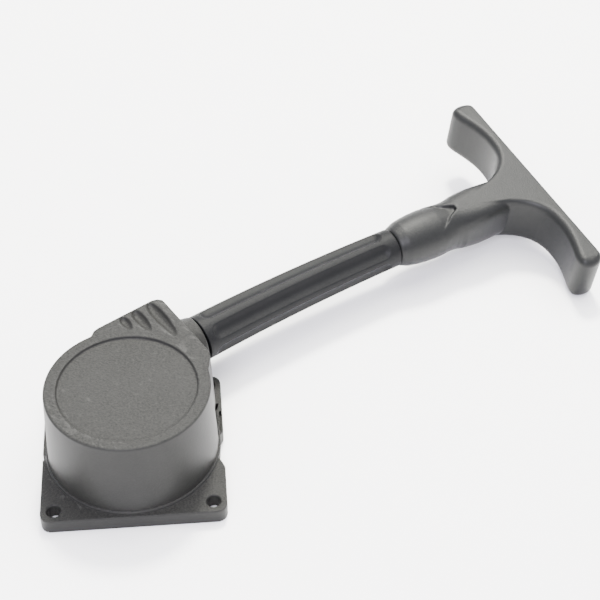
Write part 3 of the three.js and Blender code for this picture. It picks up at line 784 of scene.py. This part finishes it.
def makeClutchShell():
    inner, outer, mouth = clutch["inner"], clutch["outer"], clutch["mouth"]
    low, high, lip, wall = clutch["low"], clutch["high"], clutch["lip"], clutch["wall"]
    shoulder, edge = clutch["shoulder"], clutch["edge"]
    shell = turned("clutchShell", [
        (inner, low + mouth), (inner + mouth, low), (outer - shoulder, low),
        (outer - edge, low + edge), (outer, low + shoulder), (outer, high - shoulder),
        (outer - edge, high - edge), (outer - shoulder, high), (inner, high),
        (inner, high - lip), (outer - wall, high - lip), (outer - wall, low + lip),
        (inner, low + lip)], closed=True)
    return fitted(shell, "reel", ["clutch_shell"], bearingSteel, angle=35)


def makeClutchCage():
    inner, outer, gap = clutch["inner"], clutch["cageOuter"], clutch["gap"]
    low, high = clutch["low"] + clutch["lip"] + gap, clutch["high"] - clutch["lip"] - gap
    cage = turned(
        "clutchCage", [(inner, low), (outer, low), (outer, high), (inner, high)], closed=True)
    half = clutch["rollerLength"] / 2 + gap
    middle = (low + high) / 2
    pitch, reach, side = clutch["rollerPitch"], clutch["pocketReach"], clutch["pocketHalf"]
    pockets = []
    for i in range(clutch["rollers"]):
        pocket = boxOf(
            "pocket", (pitch - reach, -side, middle - half), (pitch + reach, side, middle + half))
        pocket.data.transform(clutchTurn(i))
        pockets.append(pocket)
    joinedTo(cage, pockets, "DIFFERENCE")
    eased(cage, clutch["cageEase"])
    return fitted(cage, "clutch_cage", ["clutch_cage"], cagePlastic, angle=35)


def makeClutchRoller(i):
    radius, edge, half = clutch["roller"], clutch["rollerEdge"], clutch["rollerLength"] / 2
    middle = (clutch["low"] + clutch["high"]) / 2
    roller = turned(f"clutchRoller{i + 1}", [
        (0, middle - half), (radius - edge, middle - half), (radius, middle - half + edge),
        (radius, middle + half - edge), (radius - edge, middle + half), (0, middle + half)],
        steps=32)
    roller.data.transform(clutchTurn(i) @ Matrix.Translation((clutch["rollerPitch"], 0, 0)))
    return fitted(roller, "clutch_cage", [f"clutch_roller_{i + 1}"],
                  bearingSteel, angle=35)


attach(makeClutchShell(), "reel")
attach(makeClutchCage(), "clutch_cage")
for number in range(clutch["rollers"]):
    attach(makeClutchRoller(number), "clutch_cage")
print("clutch is fitted")


# spiral spring above the reel
spring = {"turns": 8, "turnSteps": 60, "strip": 0.4, "inner": 5.3, "outer": 16.4, "base": 15.9,
          "height": 5.0, "tail": ((4.4, 0.0), (4.4, 0.3))}


def makeSpring():
    steps = spring["turns"] * spring["turnSteps"]
    base, height, strip = spring["base"], spring["height"], spring["strip"]
    hook, heel = spring["tail"]
    rings = [[(*hook, base), (*heel, base), (*heel, base + height), (*hook, base + height)]]
    for i in range(steps + 1):
        share = i / steps
        angle = 2 * math.pi * spring["turns"] * share
        r = spring["inner"] + (spring["outer"] - spring["inner"]) * share
        section = ((r, 0), (r + strip, 0), (r + strip, height), (r, height))
        rings.append([(radius * math.cos(angle), radius * math.sin(angle), base + z)
                      for radius, z in section])
    shape = skinned(rings)
    shape.verts.ensure_lookup_table()
    corners = len(rings[0])
    shape.faces.new(shape.verts[:corners])
    shape.faces.new(shape.verts[-corners:])
    coil = pieceOf("recoilSpring", shape)
    return fitted(coil, "housing", ["recoil_spring"], springSteel, angle=30)


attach(makeSpring(), "housing")
print("spring is coiled")


# cord from the reel to the grip, along the exit, the sleeve and the grip's bore
cordLay = {"start": 0.05, "length": 28.45, "exitSteps": 60, "sleeveSteps": 24, "gripStart": 2,
           "gripSteps": 12, "knotReach": 0.8, "shrink": 0.98, "sides": 20}


def makeCordRun():
    steps, inSleeve, inGrip = cordLay["exitSteps"], cordLay["sleeveSteps"], cordLay["gripSteps"]
    path = [exitPoint(cordLay["start"] + cordLay["length"] * i / steps, route["exitOffset"],
                      route["height"]) for i in range(steps + 1)]
    path += [sleeveLine(i / inSleeve)[0] for i in range(1, inSleeve)]
    start = cordLay["gripStart"]
    reach = route["gripLength"] - route["gripPocket"] + cordLay["knotReach"]
    path += [gripFoot + gripDir * (start + (reach - start) * i / inGrip)
             for i in range(inGrip + 1)]
    cord = tubeOf("cordRun", path, route["cordRadius"] * cordLay["shrink"], cordLay["sides"])
    return fitted(cord, "sleeve", ["cord_run"], runFinish, angle=60)


run = makeCordRun()
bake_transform(run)
print("cord is run out")


# sleeve with flutes round it
sleeve = {
    "footRadius": 5.85, "tipRadius": 5.2, "bore": 1.6, "edge": 0.25, "edgeSteps": 4,
    "flutes": 6, "fluteTurn": math.radians(12), "fluteHalf": 2.1, "fluteDepth": 0.95,
    "fluteStart": 1.9, "fluteEnd": 57.6, "around": 240, "along": 240, "boreSteps": 12,
}


def fluteDepthAt(along, across):
    start = sleeve["fluteStart"] + sleeve["fluteHalf"]
    end = sleeve["fluteEnd"] - sleeve["fluteHalf"]
    beyond = max(0.0, start - along, along - end)
    off = math.hypot(beyond, across) / sleeve["fluteHalf"]
    if off >= 1:
        return 0.0
    return sleeve["fluteDepth"] * (1 - off ** 2)


def makeSleeve():
    length, up = route["sleeveLength"], Vector((0, 0, 1))
    edge, edgeSteps, steps = sleeve["edge"], sleeve["edgeSteps"], sleeve["along"]
    stations = [edge * (1 - math.cos(math.pi / 2 * k / edgeSteps)) for k in range(edgeSteps)]
    stations += [edge + (length - 2 * edge) * k / steps for k in range(steps + 1)]
    stations += [length - s for s in reversed(stations[:edgeSteps])]

    def ringAt(along, radiusOf):
        place, heading = sleeveLine(along / length)
        side = heading.cross(up)
        ring = []
        for k in range(sleeve["around"]):
            angle = 2 * math.pi * k / sleeve["around"]
            reach = radiusOf(angle)
            ring.append(place + (up * math.cos(angle) + side * math.sin(angle)) * reach)
        return ring

    rings = []
    for along in stations:
        share = along / length
        body = sleeve["footRadius"] + (sleeve["tipRadius"] - sleeve["footRadius"]) * share
        nearEnd = min(along, length - along)
        if nearEnd < edge:
            body -= edge - math.sqrt(max(0.0, edge ** 2 - (edge - nearEnd) ** 2))

        def outside(angle, body=body, along=along):
            pitch = 2 * math.pi / sleeve["flutes"]
            across = (angle + sleeve["fluteTurn"] + pitch / 2) % pitch - pitch / 2
            return body - fluteDepthAt(along, across * body)

        rings.append(ringAt(along, outside))
    for k in range(sleeve["boreSteps"] + 1):
        share = 1 - k / sleeve["boreSteps"]
        rings.append(ringAt(length * share, lambda angle: sleeve["bore"]))
    tube = pieceOf("flutedSleeve", skinned(rings, loopClosed=True))
    return fitted(tube, "sleeve", ["sleeve"], sleeveRubber, angle=50)


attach(makeSleeve(), "sleeve")
print("sleeve is fluted")


# T grip
grip = {
    "thick": 14.6, "pocket": 3.1, "pocketFlare": 2.5, "pocketEdge": 0.5, "bore": 1.5, "boreStart": -1,
    "rim": 2.0, "rimFinger": 1.1, "rimBack": 0.8, "rimTip": 1.7, "rimBelow": 0.65,
    "rimShare": 0.75, "rimSteps": 8, "tipStart": 26.0, "stemEnd": 8, "stemSteps": 160,
    "around": 240, "neckTall": 7.25, "neckSquare": 2.4, "neckRise": (10, 15),
    "neckFlat": (15, 31), "tongueEdge": 3, "softening": 3, "cut": 0.25,
    "past": 2,   # the pocket's mouth ends this far past the bar's back, the bore this far before it
    "washer": ((1.35, 1.43), (2.82, 2.9)), "washerZ": ((0.02, 0.1), (0.67, 0.75)),
    "knotSize": 2.05, "knotStrand": 0.9, "knotLift": 2.1,
    "grain": 0.2, "passes": 3, "keep": 0.35,
}
gripOutline = [   # one half of the bar: distance from its back face, distance from the middle
    (-26.6, 0.3), (-23.5, 1.5), (-20.0, 2.7), (-15.3, 4.0), (-12.5, 4.7), (-10.4, 5.7),
    (-8.2, 7.1), (-6.2, 9.0), (-4.8, 11.2), (-3.95, 13.6), (-3.65, 16.5), (-3.75, 19.5),
    (-4.3, 22.4), (-5.2, 25.4), (-6.3, 28.2), (-6.7, 30.2), (-6.3, 31.8), (-5.0, 32.7),
    (-3.2, 33.0), (-1.2, 32.6), (0, 31.2), (0.1, 29.0),
]
stemRadii = [   # distance from the sleeve, radius
    (0, 4.7), (0.25, 5.1), (0.7, 5.4), (2.7, 6.2), (5, 6.6), (7.5, 6.87), (10.5, 7.0),
    (13, 6.85), (15, 6.45), (17.4, 6.12), (19, 6.1), (20.5, 6.3), (23, 6.2), (26, 6.0),
    (29, 5.65), (32, 5.4), (37.5, 5.2),
]
# the tongue above and below the stem: half its width in degrees, and its radius
tongueHalf = [(10.0, 54), (13.1, 41), (16.3, 19), (19.5, 4), (20.2, 0)]
tongueRadii = [(10.0, 7.0), (13.0, 6.88), (15.0, 6.5), (17.0, 6.15), (20.2, 5.95)]


def between(table, x):
    # straight-line reading of a table
    if x <= table[0][0]:
        return table[0][1]
    for (x0, y0), (x1, y1) in zip(table, table[1:]):
        if x <= x1:
            return y0 + (y1 - y0) * (x - x0) / (x1 - x0)
    return table[-1][1]


def eased01(x, low, high):
    # 0 at low, 1 at high, smooth between
    t = min(1.0, max(0.0, (x - low) / (high - low)))
    return t * t * (3 - 2 * t)


def stemRadius(along, angle):
    # round bulb that ends in a pointed tongue above and below, then a taller oval neck
    fromTop = math.degrees(math.acos(min(1.0, abs(math.cos(angle)))))
    wide = between(stemRadii, along)
    tall = wide + (grip["neckTall"] - wide) * eased01(along, *grip["neckRise"])
    power = 2 + grip["neckSquare"] * eased01(along, *grip["neckFlat"])
    neck = (abs(math.sin(angle) / wide) ** power
            + abs(math.cos(angle) / tall) ** power) ** (-1 / power)
    if along < tongueHalf[0][0] or along > tongueHalf[-1][0]:
        return neck
    reach = between(tongueHalf, along)
    inTongue = 1 - eased01(fromTop, reach - grip["tongueEdge"], reach)
    return neck + (min(neck, between(tongueRadii, along)) - neck) * inTongue


def gripStem():
    end, around = route["gripLength"] - grip["stemEnd"], grip["around"]
    turns = [2 * math.pi * k / around for k in range(around)]
    rings = [[(0, 0, 0)]]
    for i in range(grip["stemSteps"] + 1):
        along = end * i / grip["stemSteps"]
        radii = [stemRadius(along, a) for a in turns]
        rings.append([(along, math.sin(a) * r, math.cos(a) * r) for a, r in zip(turns, radii)])
    rings.append([(end, 0, 0)])
    return pieceOf("gripStem", skinned(rings))


def gripBar():
    # the flat bar of the T, its rims rounded most at the tips and least along the back
    back, half, rim = route["gripLength"], grip["thick"] / 2, grip["rim"]
    side = [(back + x, y) for x, y in gripOutline]
    less = grip["cut"]
    more = 1 - less
    for _ in range(grip["softening"]):
        softer = [side[0]]
        for (x0, y0), (x1, y1) in zip(side, side[1:]):
            softer.append((more * x0 + less * x1, more * y0 + less * y1))
            softer.append((less * x0 + more * x1, less * y0 + more * y1))
        side = softer + [side[-1]]
    outline = [(x, -y) for x, y in reversed(side)] + side
    count = len(outline)
    normals = []
    for i in range(count):
        heading = (Vector(outline[(i + 1) % count]) - Vector(outline[i - 1])).normalized()
        normals.append(Vector((heading.y, -heading.x)))
    levels = []
    for k in range(grip["rimSteps"] + 1):
        turn = math.pi / 2 * k / grip["rimSteps"]
        levels.append((1 - math.cos(turn), half - rim + rim * math.sin(turn)))
    rings = []
    for inset, z in [(i, -z) for i, z in reversed(levels)] + levels:
        ring = []
        for (x, y), normal in zip(outline, normals):
            depth = grip["rimBack"] + grip["rimFinger"] * max(0, normal.x)
            if abs(y) > grip["tipStart"]:
                depth += grip["rimTip"] * normal.y ** 2
            if z < 0:
                depth *= grip["rimBelow"]
            depth = inset * min(depth, grip["rimShare"] * abs(y))
            ring.append((x + normal.x * depth, y + normal.y * depth, z))
        rings.append(ring)
    shape = skinned(rings)
    shape.verts.ensure_lookup_table()
    shape.faces.new(shape.verts[:count])
    shape.faces.new(shape.verts[-count:])
    return pieceOf("gripBar", shape)


def gripBores():
    # the cord's bore, and the knot's pocket with a flared mouth
    back, past, flare = route["gripLength"], grip["past"], grip["pocketFlare"]
    bore = rodOf("bore", grip["bore"], grip["boreStart"], back - past, steps=40)
    low, wide = back - route["gripPocket"], grip["pocket"]
    pocket = turned("bore", [(0, low), (wide, low), (wide, back - grip["pocketEdge"]),
                             (wide + flare, back + past), (0, back + past)], steps=40)
    for tool in (bore, pocket):
        tool.data.transform(Matrix.Rotation(math.pi / 2, 4, "Y"))
    return [bore, pocket]


def makeGrip():
    body, stem = gripBar(), gripStem()
    whole = bmesh.new()
    whole.from_mesh(body.data)
    whole.from_mesh(stem.data)
    whole.to_mesh(body.data)
    whole.free()
    bpy.data.objects.remove(stem)
    moulded(body, grip["grain"], grip["passes"], grip["keep"])
    joinedTo(body, gripBores(), "DIFFERENCE")
    body.name = "gripHandle"
    body.data.transform(alongGrip)
    return fitted(body, "grip", ["grip"], gripPlastic, angle=60)


def makeGripWasher():
    floor = route["gripLength"] - route["gripPocket"]
    (bore, inner), (outer, rim) = grip["washer"]
    (foot, low), (high, top) = [[floor + z for z in pair] for pair in grip["washerZ"]]
    washer = turned("gripWasher", [
        (bore, low), (inner, foot), (outer, foot), (rim, low), (rim, high), (outer, top),
        (inner, top), (bore, high)], steps=48, closed=True)
    washer.data.transform(gripLathe)
    return fitted(washer, "grip", ["grip_washer"], zincSteel)


def makeGripKnot():
    strand = grip["knotStrand"]
    knot = knotOf("gripKnot", grip["knotSize"], strand)
    seat = route["gripLength"] - route["gripPocket"] + strand + grip["knotLift"]
    knot.data.transform(gripLathe @ Matrix.Translation((0, 0, seat)))
    return fitted(knot, "grip", ["grip_knot"], cordFinish, angle=60)


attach(makeGrip(), "grip")
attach(makeGripWasher(), "grip")
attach(makeGripKnot(), "grip")
print("grip is moulded")


# floor and lights, in metres and watts
stage = {"size": 6.0, "deep": 0.02, "floor": (0.93, 0.93, 0.93), "mottle": 0.015,
         "mottleScale": 40.0, "fill": 1.9, "sky": (0.92, 0.91, 1.0, 1)}
softbox = {"toward": (0.16, 0.3, 1.0), "reach": 1.3, "size": 1.5, "power": 56.0,
           "tint": (1.0, 0.99, 0.93)}
frontBox = {"toward": (-0.25, -0.95, 1.0), "reach": 1.1, "size": 0.45, "power": 17.0,
            "tint": (0.9, 0.88, 1.0)}
spot = {"toward": (0.06, 0.52, 1.0), "reach": 0.9, "size": 0.16, "power": 22.0,
        "tint": (1.0, 0.99, 0.9)}


def makeFloor():
    half = stage["size"] / 2
    floor = slabOf("benchTop", [(-half, -half), (half, -half), (half, half), (-half, half)],
                   -stage["deep"], 0.0)
    finish, nodes, links, shader = finishOf("benchPaint", roughness=0.7, specular=0.2)
    place = nodes.new("ShaderNodeTexCoord").outputs["Object"]
    mottle = noiseAt(nodes, links, place, stage["mottleScale"], rough=0.5)
    pale = stage["floor"]
    links.new(
        blended(nodes, links, spread(nodes, links, mottle, 0, 1), pale,
                tuple(min(1.0, c + stage["mottle"]) for c in pale)),
        shader.inputs["Base Color"])
    floor.data.materials.append(finish)


def makeLight(name, look):
    lamp = bpy.data.lights.new(name, "AREA")
    lamp.shape = "DISK"
    lamp.size = look["size"]
    lamp.energy = look["power"]
    lamp.color = look["tint"]
    light = bpy.data.objects.new(name, lamp)
    aim = Vector(look["toward"]).normalized()
    light.location = aim * look["reach"]
    light.rotation_mode = "QUATERNION"
    light.rotation_quaternion = aim.to_track_quat("Z", "Y")
    bpy.context.scene.collection.objects.link(light)


makeFloor()
makeLight("softbox", softbox)
makeLight("frontBox", frontBox)
makeLight("spot", spot)
world = bpy.data.worlds.new("studio")
world.use_nodes = True
background = world.node_tree.nodes["Background"]
background.inputs["Color"].default_value = stage["sky"]
background.inputs["Strength"].default_value = stage["fill"]
bpy.context.scene.world = world
print("floor and light are set")
